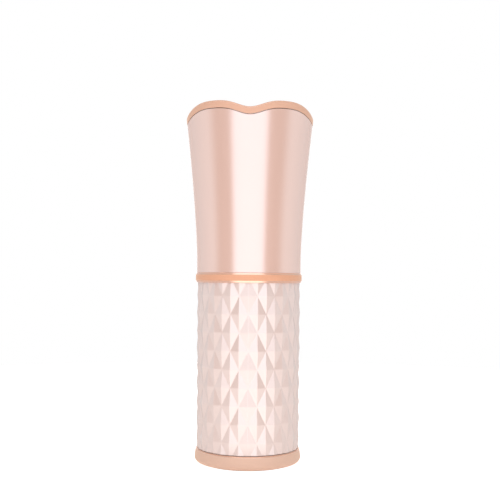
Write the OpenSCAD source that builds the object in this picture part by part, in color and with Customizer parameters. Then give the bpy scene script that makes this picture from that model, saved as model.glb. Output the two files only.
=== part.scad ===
// Handheld IPL hair remover: a faceted grip on a plated base, a flared head sleeve with a wavy
// plated crown, and a slanted treatment face that carries a magnetic window attachment.
// +Z runs up the axis from the table, +Y is the treatment side and -Y is the plain back.

/* [Base] */
// Height of the plated base above the table
base_h = 7.1; // [5.5:0.1:9]
// How far the base swells past the facet tips
base_swell = 0.7; // [0.2:0.05:1.5]
// Radius of the round along the lower edge
base_round = 2.6; // [1:0.1:3.5]
// Thickness of the base floor
base_floor = 2.2; // [1.6:0.1:3]
// Height that the rubber foot stands below the base
foot_drop = 0.4; // [0.2:0.1:1]
// Number of air inlet slots in the base floor
inlet_slots = 14; // [8:1:18]

/* [Grip] */
// Radius over the facet tips
grip_r = 25.2; // [25:0.1:31]
// Visible length of the faceted grip
grip_len = 80.3; // [76:0.1:98]
// Height of each facet tip above the valleys
facet_depth = 0.8; // [0.3:0.05:1.2]
// Number of facet tips round the grip
facets_round = 18; // [12:1:24]
// Height of one diamond facet
facet_h = 17.1; // [12:0.1:22]
// Distance from the top of the grip to the first facet tip at the back
facet_start = 6.05; // [0:0.05:8]
// Wall of the grip under the facet tips
grip_wall = 2.8; // [2.2:0.1:4]

/* [Waist ring] */
// Height of the plated waist ring
ring_h = 4.8; // [3:0.1:7]
// How far the ring stands proud of the facet tips
ring_proud = 0.65; // [0.2:0.05:1.5]
// Round on the ring edges
ring_round = 0.9; // [0.3:0.05:1.4]

/* [Head] */
// Height from the ring to the end of the flare
head_len = 77.2; // [74:0.1:93]
// How far the head sleeve stands past the facet tips at the waist
waist_step = 0.2; // [0:0.05:0.5]
// Growth in radius from the waist to the rim
flare = 5.85; // [3:0.05:8]
// Straight length above the ring before the flare starts
flare_start = 6.4; // [0:0.1:15]
// Power of the flare curve
flare_power = 1.4; // [1:0.05:2.5]
// Wall of the head sleeve
head_wall = 1.8; // [1.2:0.1:2.4]

/* [Crown] */
// Height of the rim's two crests above the end of the flare
crest_rise = 2; // [1:0.1:3.5]
// Depth of the dip between the crests
dip_depth = 3.5; // [1:0.1:5]
// Half the width of the dip
dip_half = 8.3; // [6:0.1:11]
// Fall of the rim from the crests to the sides
shoulder_drop = 4.1; // [1:0.1:6]
// Thickness of the plated crown
crown_t = 3.4; // [2.4:0.1:4.4]
// Thickness of the dark gaskets that line the seams
gasket_t = 0.35; // [0.2:0.05:0.6]
// Slope of the treatment face from level
face_tilt = 56; // [50:1:60]
// Distance from the front of the waist back to the top of the treatment face
face_setback = 22.4; // [20.4:0.1:24.4]
// Width of the crown lip round the treatment face
face_lip = 2.4; // [2:0.1:3]

/* [Treatment window] */
// Width of the light window
window_w = 29.6; // [24:0.2:31]
// Height of the light window
window_h = 9.6; // [8:0.2:11]
// Distance of the window below the top of the face, down the slope
window_drop = 17; // [16:0.5:19]
// Width of the attachment
attach_w = 42; // [40:0.5:44]
// Height of the attachment
attach_h = 20; // [19:0.5:21]
// How far the attachment stands out from the face
attach_out = 7; // [6:0.5:10]
// Travel of the skin contact pins
pin_travel = 0.8; // [0.4:0.1:1.2]

/* [Controls] */
// Width of the control panel
panel_w = 17; // [15:0.5:19]
// Height of the control panel
panel_h = 29; // [28.5:0.5:32]
// Radius of the flash button
flash_r = 5.3; // [4.5:0.1:6]
// Radius of the power button
power_r = 2.9; // [2.4:0.1:3.4]
// Travel of both buttons
button_travel = 0.8; // [0.4:0.1:1]

/* [Inner parts] */
// Wall of the clamshell chassis
chassis_wall = 1.3; // [1:0.1:1.6]
// Radius of the storage capacitor
cap_r = 11; // [9:0.5:12]
// Length of the storage capacitor
cap_len = 44; // [30:1:47]
// Number of fan blades
fan_blades = 7; // [5:1:9]
// Height of the fan frame
fan_h = 11; // [9:0.5:12]
// Radius of the fan shaft
shaft_r = 1; // [0.8:0.1:1.5]
// Outer radius of the flash lamp tube
lamp_r = 2.2; // [1.8:0.1:2.5]
// Radius of the contact pin in the power inlet
jack_pin_r = 1.05; // [0.9:0.05:1.3]
// Radius of the opening in the power inlet
jack_bore_r = 3.2; // [2.8:0.1:3.4]

/* [Hidden] */
$fn = 64;

// Clearances
seat_gap = 0.1;    // pieces that sit on each other
slide_gap = 0.25;  // round a button in its hole
shell_gap = 0.3;   // between the chassis and the sleeves round it
run_gap = 0.05;    // a shaft or pin in its bearing
big = 120;         // longer than the object in any direction it is used

// Heights of the seams
ring_z = base_h + grip_len;
head_z = ring_z + ring_h;
rim_z = head_z + head_len;
ridge_z = rim_z + crest_rise;
floor_z = foot_drop + base_floor;

// Radii that follow the grip
valley_r = grip_r - facet_depth;
grip_bore_r = grip_r - grip_wall;
ring_r = grip_r + ring_proud;
base_r = grip_r + base_swell;
base_top_r = grip_r + 0.15;
waist_r = grip_r + waist_step;
face_y = waist_r - face_setback;
chassis_r = grip_bore_r - shell_gap;
chassis_bore_r = chassis_r - chassis_wall;
spigot_r = grip_bore_r - 0.2;
spigot_bore_r = chassis_bore_r - 0.2;
spigot_top = base_h + 2.9;

// Chassis levels
chassis_z = spigot_top + seat_gap;
shelf_z = chassis_z + 0.9;      // floor of the chassis
shelf_t = 2;
deck_z = shelf_z + shelf_t;     // top of that floor
cap_shelf_t = 1.5;
cap_z = deck_z + 4.5 + seat_gap;
fan_z = ring_z - 14.4;
collar_t = 2;
collar_r = waist_r - head_wall - shell_gap;
head_deck_z = head_z + collar_t;

// Boards
board_t = 1.6;
board_y = 5.2;                  // rear face of the main board
board_half = sqrt(pow(chassis_bore_r, 2) - pow(board_y + board_t, 2)) - 1.2;
board_z = deck_z + 4.4;
board_top = fan_z - 3;
cap_y = board_y - 2.7 - cap_r;  // axis of the capacitor, behind the board
post_x = 15.5;                  // base screws lie on the X axis at this distance
screw_r = 1.2;

// Clamshell screws: distance to the front, height
boss_r = 3;
grip_boss_z = fan_z - 6;
boss_at = [
    [-chassis_bore_r + 5.3, grip_boss_z],
    [chassis_bore_r - 6.8, grip_boss_z],
    [-5, head_deck_z + 5.8],
    [-5, head_deck_z + 29.8]
];

// Treatment face: the window centre is the origin of the face frame
window_y = face_y + window_drop * cos(face_tilt);
window_z = ridge_z - window_drop * sin(face_tilt);
opening_top = 4 - window_drop;  // upper edge of the face opening, down the slope
plate_back = -3;                // rear of the face plate, along the face normal
plate_front = -0.6;

// Lamp module, in the face frame
glass_rim = 1.1;                // hold on each glass past the window's edge
snout_w = window_w + 3.8;
snout_h = window_h + 3.8;
snout_out = 1.2;
housing_w = snout_w + 0.6;
housing_h = snout_h + 3.6;
housing_back = -22;
cavity_w = window_w + 1;
cavity_h = window_h + 1;
lamp_w = -10;                   // depth of the lamp axis
filter_t = 1.6;
filter_w = window_w + 2 * glass_rim;
filter_h = window_h + 2 * glass_rim;
lamp_half = housing_w / 2 + 1.4;
ear_at = [-6, -17];             // down the slope, and along the normal

// Side plates of the chassis in the head
plate_in = snout_w / 2 + 2.9;
plate_t = 1.8;
plate_half = 8.5;

// Attachment
pocket_w = filter_w;
pocket_h = filter_h;
attach_foot = plate_front + seat_gap;
pin_x = attach_w / 2 - 2;
pin_r = 1.2;
magnet_r = 1.6;
magnet_t = 1.6;

// Control panel
panel_z = head_deck_z + 0.6;
panel_r = 4;
display_w = 12;
display_h = 5.6;
display_z = panel_z + panel_h - display_h / 2 - 2.4;
power_z = panel_z + power_r + 1;
flash_z = power_z + power_r + flash_r + 2.4;
cboard_t = 1.4;
cboard_y = collar_r - 4.9;      // front face of the control board
cboard_half = 9.5;
switch_body = 0.8;
switch_top = 1.5;
flange_t = 1.1;
flange_y = cboard_y + switch_top + button_travel + seat_gap;

// Leads from the main board to the lamp, right side: distance right, front, up
lead_r = 0.6;
lead_steps = 4;

function head_r(z) =
    z <= head_z + flare_start
    ? waist_r
    : waist_r + flare * pow((z - head_z - flare_start) / (head_len - flare_start), flare_power);
function wave(x) = ridge_z - dip_depth * exp(-pow(x / dip_half, 2))
    - shoulder_drop * pow(max(0, (abs(x) / (waist_r + flare) - 0.576) / 0.397), 2.6);
function arc_points(cx, cy, r, from, to, n) =
    [for (i = [0 : n]) let (a = from + (to - from) * i / n) [cx + r * cos(a), cy + r * sin(a)]];

// ---------------------------------------------------------------- shared shapes

// Frame on the treatment face: X across, Y down the slope, Z out of the face
module face_frame() {
    translate([0, window_y, window_z]) rotate([-face_tilt, 0, 0]) children();
}

// Plate with round corners, standing on the XY plane
module round_plate(w, h, r, t) {
    linear_extrude(height = t) {
        square([w - 2 * r, h], center = true);
        square([w, h - 2 * r], center = true);
        for (sx = [-1, 1], sy = [-1, 1])
            translate([sx * (w / 2 - r), sy * (h / 2 - r)]) circle(r = r);
    }
}

module ring(r_out, r_in, z0, z1) {
    difference() {
        translate([0, 0, z0]) cylinder(r = r_out, h = z1 - z0);
        translate([0, 0, z0 - 1]) cylinder(r = r_in, h = z1 - z0 + 2);
    }
}

// Box given by its two corners
module block(a, b) {
    translate(a) cube(b - a);
}

// Rod along +Y
module y_rod(x, z, r, y0, y1) {
    translate([x, y0, z]) rotate([-90, 0, 0]) cylinder(r = r, h = y1 - y0);
}

// Rod along +X
module x_rod(y, z, r, x0, x1) {
    translate([x0, y, z]) rotate([0, 90, 0]) cylinder(r = r, h = x1 - x0);
}

// Solid of the flared head, drawn in by side_off
module head_solid(side_off, z0 = head_z, z1 = ridge_z + 8) {
    steps = 16;
    rotate_extrude($fn = 128) polygon(concat(
        [[0, z0]],
        [for (i = [0 : steps]) let (z = z0 + (z1 - z0) * i / steps) [head_r(z) - side_off, z]],
        [[0, z1]]
    ));
}

// Everything below the wavy top, lowered by off
module under_wave(off) {
    steps = 24;
    reach = waist_r + flare + 2.75;
    rotate([90, 0, 0]) linear_extrude(height = big, center = true) polygon(concat(
        [[-reach, 0]],
        [for (i = [-steps : steps]) let (x = reach * i / steps) [x, wave(x) - off]],
        [[reach, 0]]
    ));
}

// Everything behind the treatment face, moved in by off
module behind_face(off) {
    face_frame() translate([-big / 2, -big / 2, -2 * big - off]) cube([big, 2 * big, 2 * big]);
}

// Head cut by the wavy top and by the treatment face
module head_envelope(side_off, top_off, z0 = head_z) {
    intersection() {
        head_solid(side_off, z0);
        under_wave(top_off);
        behind_face(top_off);
    }
}

// Slab of the treatment face inside the crown lip, between two depths
module face_slab(lip, gap, w0, w1) {
    intersection() {
        head_solid(lip + gap);
        face_frame()
            translate([-big / 2, opening_top + gap, w0])
                cube([big, big, w1 - w0]);
    }
}

// ---------------------------------------------------------------- base

module base_profile() {
    polygon(concat(
        [[0, foot_drop]],
        arc_points(base_r - base_round, foot_drop + base_round, base_round, -90, 0, 8),
        [[base_top_r, base_h], [0, base_h]]
    ));
}

module base_cap() {
    slot_in = jack_bore_r + 6;
    slot_out = post_x - 4.3;
    color([0.93, 0.74, 0.62]) difference() {
        union() {
            difference() {
                union() {
                    rotate_extrude($fn = 128) base_profile();
                    ring(spigot_r, spigot_bore_r, base_h - 1, spigot_top);
                }
                translate([0, 0, floor_z]) cylinder(r = spigot_bore_r, h = big);
            }
            for (s = [-1, 1]) translate([s * post_x, 0, floor_z - 0.5])
                cylinder(r = screw_r + 2, h = shelf_z - floor_z + 0.5 - seat_gap);
        }
        translate([0, 0, -1]) cylinder(r = jack_bore_r + 2, h = floor_z + 2);
        ring(foot_out_r + seat_gap, foot_in_r - seat_gap, -1, foot_drop + 0.85);
        for (i = [0 : inlet_slots - 1]) rotate(360 * (i + 0.5) / inlet_slots)
            block([slot_in, -0.9, -1], [slot_out, 0.9, floor_z + 1]);
        for (s = [-1, 1]) translate([s * post_x, 0, -1]) {
            cylinder(r = screw_r + 0.1, h = big);
            cylinder(r = 2 * screw_r + 0.1, h = foot_drop + 1 + 1.7);
        }
    }
}

foot_in_r = post_x + 3.3;
foot_out_r = foot_in_r + 3.6;

module foot_ring() {
    color([0.32, 0.3, 0.3]) ring(foot_out_r, foot_in_r, 0, foot_drop + 0.8);
}

module base_gasket() {
    color([0.3, 0.24, 0.22])
        ring(valley_r - 0.3, grip_bore_r + 0.1, base_h, base_h + gasket_t);
}

module base_screws() {
    color("silver") for (s = [-1, 1]) translate([s * post_x, 0, foot_drop + 0.3]) difference() {
        union() {
            cylinder(r = 2 * screw_r, h = 1.4);
            cylinder(r = screw_r, h = deck_z + 3 - foot_drop);
        }
        translate([-1.6, -0.25, -0.5]) cube([3.2, 0.5, 1]);
        translate([-0.25, -1.6, -0.5]) cube([0.5, 3.2, 1]);
    }
}

// ---------------------------------------------------------------- grip

// Outer surface of the grip: a grid of points whose even ones are tips and odd ones valleys
module facet_solid() {
    cols = 2 * facets_round;
    row_h = facet_h / 2;
    top = ring_z - facet_start;
    above = 2;
    rows = above + ceil((top - base_h) / row_h) + 2;
    function tip(k, j) = (k + j) % 2 == 0;
    function grid_point(k, j) =
        let (a = -90 + 360 * k / cols, r = tip(k, j) ? grip_r : valley_r)
        [r * cos(a), r * sin(a), top + (above - j) * row_h];
    points = concat(
        [for (j = [0 : rows], k = [0 : cols - 1]) grid_point(k, j)],
        [[0, 0, top + above * row_h], [0, 0, top + (above - rows) * row_h]]
    );
    function at(k, j) = j * cols + k % cols;
    top_i = cols * (rows + 1);
    faces = concat(
        [for (j = [0 : rows - 1], k = [0 : cols - 1], half = [0, 1])
            tip(k, j)
            ? (half == 0 ? [at(k, j), at(k + 1, j), at(k, j + 1)]
                         : [at(k + 1, j), at(k + 1, j + 1), at(k, j + 1)])
            : (half == 0 ? [at(k, j), at(k + 1, j), at(k + 1, j + 1)]
                         : [at(k, j), at(k + 1, j + 1), at(k, j + 1)])],
        [for (k = [0 : cols - 1]) [top_i, at(k + 1, 0), at(k, 0)]],
        [for (k = [0 : cols - 1]) [top_i + 1, at(k, rows), at(k + 1, rows)]]
    );
    polyhedron(points = points, faces = faces);
}

module grip_sleeve() {
    color([0.93, 0.84, 0.81]) difference() {
        intersection() {
            facet_solid();
            translate([0, 0, base_h + gasket_t]) cylinder(r = big, h = grip_len - gasket_t);
        }
        translate([0, 0, -1]) cylinder(r = grip_bore_r, h = big * 2);
    }
}

// ---------------------------------------------------------------- waist ring

module waist_ring() {
    color([0.93, 0.66, 0.5]) rotate_extrude($fn = 128) polygon(concat(
        [[grip_bore_r, ring_z]],
        arc_points(ring_r - ring_round, ring_z + ring_round, ring_round, -90, 0, 6),
        arc_points(ring_r - ring_round, head_z - ring_round, ring_round, 0, 90, 6),
        [[grip_bore_r, head_z]]
    ));
}

// ---------------------------------------------------------------- head shell

// Pill-shaped bar through the front of the head, grown by gap
module panel_bar(gap) {
    translate([0, 8, panel_z + panel_h / 2]) rotate([-90, 0, 0])
        round_plate(panel_w + 2 * gap, panel_h + 2 * gap, panel_r + gap, big / 2);
}

module head_sleeve() {
    color([0.93, 0.82, 0.78]) difference() {
        head_envelope(0, crown_t + gasket_t);
        head_solid(head_wall, head_z - 1);
        panel_bar(seat_gap);
    }
}

module crown_gasket() {
    color([0.3, 0.24, 0.22]) difference() {
        head_envelope(gasket_t, crown_t);
        head_envelope(-2, crown_t + gasket_t, head_z - 1);
        head_solid(head_wall + 0.05, head_z - 1);
    }
}

module crown_bezel() {
    skirt_gap = head_wall + 0.15;
    skirt_t = 1.3;
    skirt_h = 4;
    slot_pitch = 4.4;
    color([0.93, 0.73, 0.6]) difference() {
        union() {
            difference() {
                head_envelope(0, 0);
                head_envelope(-2, crown_t, head_z - 1);
            }
            difference() {
                head_envelope(skirt_gap, crown_t - 0.5);
                head_solid(skirt_gap + skirt_t, head_z - 1);
                head_envelope(-2, crown_t + skirt_h, head_z - 1);
                block([-panel_w / 2 - 1.5, 0, 0], [panel_w / 2 + 1.5, big, big * 2]);
            }
        }
        face_slab(face_lip, 0, -crown_t - 1, 2);
        for (i = [-3 : 3]) {
            reach = vent_half_y - abs(i) * 0.7;
            translate([i * slot_pitch, vent_y, 0])
                block([-1, -reach, rim_z - 12], [1, reach, ridge_z + 5]);
        }
    }
}

vent_y = -14;
vent_half_y = 8;

module vent_screen() {
    color([0.45, 0.36, 0.33]) intersection() {
        difference() {
            head_envelope(4, crown_t + 0.05);
            head_envelope(3, crown_t + 0.85, head_z - 1);
        }
        block([-16, vent_y - vent_half_y - 1.8, rim_z - 20], [16, vent_y + vent_half_y + 1.8, ridge_z]);
    }
}

// ---------------------------------------------------------------- treatment face

module face_plate() {
    color([0.97, 0.92, 0.9]) difference() {
        face_slab(face_lip, 0.15, plate_back, plate_front);
        face_frame() {
            translate([0, 0, plate_back - 1]) round_plate(snout_w + 0.3, snout_h + 0.3, 2, 5);
            for (s = [-1, 1]) translate([s * pin_x, 0, plate_back - 1])
                cylinder(r = magnet_r + 0.1, h = 1 + 0.2 + magnet_t);
            translate([0, skin_v, plate_back - 1]) cylinder(r = skin_r + 0.1, h = 5);
        }
    }
}

skin_v = window_drop + 2.5;
skin_r = 2.4;

module skin_tone_sensor() {
    color([0.2, 0.12, 0.14]) face_frame() {
        translate([0, skin_v, plate_back - 1.5])
            cylinder(r = skin_r, h = plate_front - plate_back + 1.6);
        translate([0, skin_v, plate_back - 2.7]) cylinder(r = skin_r + 1, h = 2.6);
    }
}

module seat_magnets() {
    color("silver") face_frame() for (s = [-1, 1])
        translate([s * pin_x, 0, plate_back]) cylinder(r = magnet_r, h = magnet_t);
}

module attachment_frame() {
    color([0.95, 0.8, 0.72]) face_frame() difference() {
        translate([0, 0, attach_foot]) round_plate(attach_w, attach_h, 6, attach_out - attach_foot);
        translate([0, 0, attach_foot - 1])
            round_plate(snout_w + 0.5, snout_h + 0.5, 2.2, snout_out + 0.4 - attach_foot + 1);
        translate([0, 0, 0]) round_plate(pocket_w, pocket_h, 2, attach_out - 2.5);
        round_plate(window_w, window_h, 1.5, attach_out + 1);
        for (s = [-1, 1]) {
            translate([s * pin_x, 0, attach_out - 4.6]) cylinder(r = pin_r + 0.1, h = 5);
            translate([s * pin_x, 0, attach_foot - 1]) cylinder(r = magnet_r + 0.1, h = 1 + magnet_t);
        }
    }
}

module attachment_lens() {
    color([0.9, 0.95, 1, 0.4]) face_frame()
        translate([0, 0, attach_out - 2.5 - 1.5])
            round_plate(pocket_w - 0.2, pocket_h - 0.2, 1.9, 1.4);
}

module attachment_magnets() {
    color("silver") face_frame() for (s = [-1, 1])
        translate([s * pin_x, 0, attach_foot]) cylinder(r = magnet_r, h = magnet_t - 0.1);
}

module contact_pin(s) {
    color([0.9, 0.9, 0.88]) face_frame() translate([s * pin_x, 0, attach_out - 4.6 + pin_travel + 0.1])
        cylinder(r = pin_r, h = 4.6 - 0.1);
}

module contact_pin_left() { contact_pin(-1); }
module contact_pin_right() { contact_pin(1); }

// ---------------------------------------------------------------- controls

module control_panel() {
    color([0.93, 0.7, 0.56]) difference() {
        union() {
            intersection() {
                difference() {
                    head_solid(-0.3);
                    head_solid(head_wall + 0.5, head_z - 1);
                }
                panel_bar(0);
            }
            intersection() {
                for (sx = [-1, 1], z = [panel_z + 3.4, flash_z + flash_r - 0.4])
                    y_rod(sx * (panel_w / 2 - 1.7), z, 1.3, cboard_y + seat_gap, big);
                head_solid(head_wall);
            }
        }
        y_rod(0, flash_z, flash_r + slide_gap, 0, big);
        y_rod(0, power_z, power_r + slide_gap, 0, big);
        translate([0, 0, display_z]) rotate([-90, 0, 0])
            round_plate(display_w + 0.2, display_h + 0.2, 1.6, big);
    }
}

module display_lens() {
    color([0.25, 0.18, 0.2]) intersection() {
        difference() {
            head_solid(-0.1);
            head_solid(head_wall + 0.2, head_z - 1);
        }
        translate([0, 8, display_z]) rotate([-90, 0, 0])
            round_plate(display_w, display_h, 1.5, big / 2);
    }
}

module push_button(z, r) {
    intersection() {
        y_rod(0, z, r, flange_y, big);
        head_solid(-1);
    }
    y_rod(0, z, r + 0.8, flange_y, flange_y + flange_t);
}

module flash_button() {
    color([0.97, 0.92, 0.9]) push_button(flash_z, flash_r);
}

module power_button() {
    color([0.97, 0.92, 0.9]) push_button(power_z, power_r);
}

module control_board() {
    color([0.1, 0.35, 0.25])
        block([-cboard_half, cboard_y - cboard_t, head_deck_z],
              [cboard_half, cboard_y, panel_z + panel_h + 1]);
}

module tact_switches() {
    color([0.15, 0.15, 0.15]) for (z = [flash_z, power_z]) {
        block([-2.5, cboard_y, z - 2.5], [2.5, cboard_y + switch_body, z + 2.5]);
        y_rod(0, z, 1.2, cboard_y, cboard_y + switch_top);
    }
}

module level_leds() {
    color([0.98, 0.9, 0.7]) for (i = [-2 : 2])
        block([i * 2.2 - 0.6, cboard_y, display_z - 0.6], [i * 2.2 + 0.6, cboard_y + 1, display_z + 0.6]);
}

module trigger_coil() {
    coil_r = 5.2;
    y = cboard_y - cboard_t - coil_r - 0.6;
    z = head_deck_z + 9;
    color([0.75, 0.4, 0.2]) {
        translate([0, y, z + 1.4]) cylinder(r = coil_r - 0.4, h = 10.2);
        for (dz = [0, 11.6]) block([-6, y - coil_r, z + dz], [6, y + coil_r + 0.6, z + dz + 1.4]);
    }
}

// ---------------------------------------------------------------- chassis

module chassis_half() {
    intersection() {
        difference() {
            union() {
                ring(chassis_r, chassis_bore_r, chassis_z, head_z + 1);
                ring(chassis_bore_r + 0.5, 8, shelf_z, deck_z);
                ring(chassis_bore_r + 0.5, fan_ring_in, fan_z - 1.4, fan_z - seat_gap);
                ring(chassis_bore_r + 0.5, fan_ring_in, fan_z + fan_h + seat_gap, fan_z + fan_h + 1.4);
                ring(collar_r, chassis_bore_r, head_z + 0.05, head_deck_z);
                intersection() {
                    translate([0, 0, head_z + 0.05]) cylinder(r = chassis_bore_r + 0.5, h = collar_t - 0.05);
                    union() {
                        block([-big / 2, cboard_y - 4, 0], [big / 2, big / 2, big]);
                        for (s = [-1, 1]) scale([s, 1, 1])
                            block([plate_in - 1, -plate_half, 0], [big / 2, plate_half, big]);
                    }
                }
                // Shelf under the capacitor
                intersection() {
                    translate([0, 0, cap_z - seat_gap - cap_shelf_t])
                        cylinder(r = chassis_bore_r + 0.5, h = cap_shelf_t);
                    block([-big / 2, -big / 2, 0], [big / 2, cap_y + cap_r - 1, big]);
                }
                // Slots that hold the main board by its edges
                intersection() {
                    translate([0, 0, board_z]) cylinder(r = chassis_bore_r + 0.5, h = board_top - board_z);
                    for (y = [board_y - seat_gap - 1.2, board_y + board_t + seat_gap])
                        difference() {
                            block([-big / 2, y, 0], [big / 2, y + 1.2, big]);
                            block([-board_half + 1.6, y - 1, -1], [board_half - 1.6, y + 3, big + 1]);
                        }
                }
                // Plates that carry the lamp module
                intersection() {
                    head_envelope(head_wall + 0.4, crown_t + 5.5);
                    for (s = [-1, 1]) scale([s, 1, 1])
                        block([plate_in, -plate_half, head_z + 0.05], [plate_in + plate_t, plate_half, window_z]);
                }
                for (b = boss_at) intersection() {
                    x_rod(b[0], b[1], boss_r, -plate_in - 0.5, plate_in + 0.5);
                    union() {
                        cylinder(r = chassis_bore_r + 0.5, h = head_z);
                        translate([0, 0, head_z]) cylinder(r = collar_r + 2, h = big);
                    }
                }
                for (s = [-1, 1]) translate([s * post_x, 0, shelf_z])
                    cylinder(r = screw_r + 2, h = shelf_t + 5);
            }
            for (s = [-1, 1]) translate([s * post_x, 0, 0]) cylinder(r = screw_r + 0.05, h = deck_z + 4);
            for (b = boss_at) {
                x_rod(b[0], b[1], screw_r + 0.05, -7, 8);
                x_rod(b[0], b[1], 2 * screw_r + 0.1, -big / 2, -5);
            }
            lead_notch(fan_ring_in - 1);
            for (s = [-1, 1]) lamp_screw_hole(s);
        }
        block([0.05, -big / 2, 0], [big / 2, big / 2, 2 * big]);
    }
}

fan_ring_in = chassis_bore_r - 2;

// Passage for the lamp leads past the fan, at the front
module lead_notch(inner_y) {
    block([-2.6, inner_y, fan_z - 3], [2.6, chassis_bore_r, fan_z + fan_h + 3]);
}

module lamp_screw_hole(s) {
    face_frame() translate([s * (plate_in - 1), ear_at[0], ear_at[1]]) rotate([0, s * 90, 0])
        cylinder(r = 1, h = big / 2);
}

module chassis_right() {
    color([0.85, 0.85, 0.83]) chassis_half();
}

module chassis_left() {
    color([0.85, 0.85, 0.83]) difference() {
        mirror([1, 0, 0]) chassis_half();
        for (b = boss_at) x_rod(b[0], b[1], 2 * screw_r + 0.1, -big / 2, -5);
    }
}

module chassis_screws() {
    color("silver") for (b = boss_at) difference() {
        union() {
            x_rod(b[0], b[1], screw_r, -6, 7);
            x_rod(b[0], b[1], 2 * screw_r, -6.9, -5.1);
        }
        x_rod(b[0], b[1], 0.9, -7.5, -6.2, $fn = 6);
    }
}

// ---------------------------------------------------------------- power inlet and boards

jack_top = deck_z;
jack_nose_z = foot_drop + 1.2;
jack_floor_z = jack_top - 2;

module dc_jack() {
    color([0.12, 0.12, 0.12]) difference() {
        union() {
            translate([0, 0, jack_nose_z]) cylinder(r = jack_bore_r + 1.9, h = jack_top - jack_nose_z);
            block([-5.8, -5.2, floor_z + 2], [5.8, 5.2, shelf_z - 0.5]);
        }
        translate([0, 0, -1]) cylinder(r = jack_bore_r, h = jack_floor_z + 1);
        cylinder(r = 2 * jack_pin_r, h = jack_floor_z + 1.4);
    }
}

module dc_jack_pin() {
    color([0.85, 0.8, 0.6]) {
        translate([0, 0, jack_nose_z + 0.6]) cylinder(r = jack_pin_r, h = jack_floor_z - jack_nose_z);
        translate([0, 0, jack_floor_z]) cylinder(r = 2 * jack_pin_r, h = 1.4);
    }
}

module power_board() {
    color([0.1, 0.35, 0.25]) translate([0, 0, deck_z]) cylinder(r = post_x - screw_r - 2.3, h = board_t);
}

module main_board() {
    color([0.1, 0.35, 0.25]) block([-board_half, board_y, board_z], [board_half, board_y + board_t, board_top]);
}

// Chips and small parts on the front of the main board
module board_chips() {
    face = board_y + board_t;
    top = board_top;
    color([0.2, 0.2, 0.22]) {
        block([-14, face, top - 11], [-6, face + 1.4, top - 3]);
        block([8, face, top - 17], [12, face + 1.2, top - 12]);
        block([7, face, top - 9], [13, face + 4, top - 3]);
        for (i = [0 : 3]) block([-2 + i * 2.4, face, top - 20], [-0.8 + i * 2.4, face + 0.8, top - 18]);
        for (s = [-1, 1]) y_rod(s * 11.6, board_z + 5, 3, face, face + 7);
    }
}

module charge_transformer() {
    face = board_y + board_t;
    z = board_z + 9;
    color([0.85, 0.7, 0.25]) {
        block([-5.5, face, z + 2.4], [5.5, face + 10.4, z + 11.6]);
        for (dz = [0, 12]) block([-7.5, face, z + dz], [7.5, face + 9, z + dz + 2]);
        for (s = [-1, 1]) block([s * 6.6 - 0.9, face, z + 2.2], [s * 6.6 + 0.9, face + 9, z + 11.8]);
    }
}

module power_transistor() {
    face = board_y + board_t;
    z = board_z + 27;
    color([0.2, 0.2, 0.22]) {
        block([-13.5, face, z], [-3.5, face + 4.4, z + 9]);
        block([-13.5, face, z + 9.1], [-3.5, face + 1.3, z + 14]);
    }
}

module storage_capacitor() {
    color([0.15, 0.2, 0.4]) translate([0, cap_y, cap_z]) difference() {
        cylinder(r = cap_r, h = cap_len);
        translate([0, 0, cap_len - 3.4]) ring(cap_r + 1, cap_r - 0.6, 0, 1.2);
        translate([-0.25, -5, cap_len - 0.5]) cube([0.5, 10, 1]);
        translate([-5, -0.25, cap_len - 0.5]) cube([10, 0.5, 1]);
    }
}

module capacitor_clamp() {
    mid = cap_z + cap_len * 0.6;
    color([0.75, 0.75, 0.75]) difference() {
        union() {
            translate([0, cap_y, mid]) cylinder(r = cap_r + 1.2, h = 8);
            block([-5, cap_y + cap_r, mid], [5, board_y, mid + 8]);
        }
        translate([0, cap_y, mid - 1]) cylinder(r = cap_r + 0.05, h = 10);
    }
}

// ---------------------------------------------------------------- fan

fan_r = chassis_bore_r - shell_gap;
fan_duct_r = fan_r - 1.9;
hub_r = 9;

module fan_frame() {
    color([0.25, 0.25, 0.27]) difference() {
        union() {
            ring(fan_r, fan_duct_r, fan_z, fan_z + fan_h);
            translate([0, 0, fan_z]) cylinder(r = hub_r, h = 1.3);
            for (i = [0 : 3]) rotate(45 + 90 * i)
                block([hub_r - 1, -1, fan_z], [fan_duct_r + 0.8, 1, fan_z + 1.3]);
            translate([0, 0, fan_z]) cylinder(r = 2.6, h = 7.2);
        }
        translate([0, 0, fan_z - 1]) cylinder(r = shaft_r + run_gap, h = 10);
        lead_notch(lead_y - lead_r - 0.15);
    }
}

module fan_stator() {
    color([0.75, 0.42, 0.2]) {
        ring(4, 2.65, fan_z + 1.8, fan_z + 6.6);
        for (i = [0 : 3]) rotate(90 * i) block([3.8, -2.2, fan_z + 2], [6.8, 2.2, fan_z + 6.4]);
    }
}

module fan_rotor() {
    tip_r = fan_duct_r - 0.5;
    top = fan_z + fan_h - 0.8;
    color([0.3, 0.3, 0.32]) {
        difference() {
            translate([0, 0, fan_z + 1.8]) cylinder(r = hub_r, h = top - fan_z - 1.8);
            translate([0, 0, fan_z]) cylinder(r = hub_r - 1.2, h = top - fan_z - 1.6);
        }
        translate([0, 0, fan_z + 0.6]) cylinder(r = shaft_r, h = top - fan_z - 1);
        intersection() {
            ring(tip_r, hub_r - 0.4, fan_z + 1.8, top);
            for (i = [0 : fan_blades - 1]) rotate(360 * i / fan_blades)
                translate([(hub_r + tip_r) / 2, 0, (fan_z + 1.8 + top) / 2]) rotate([38, 0, 0])
                    cube([tip_r - hub_r + 6, 1, 12], center = true);
        }
    }
}

// ---------------------------------------------------------------- lamp module

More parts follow.
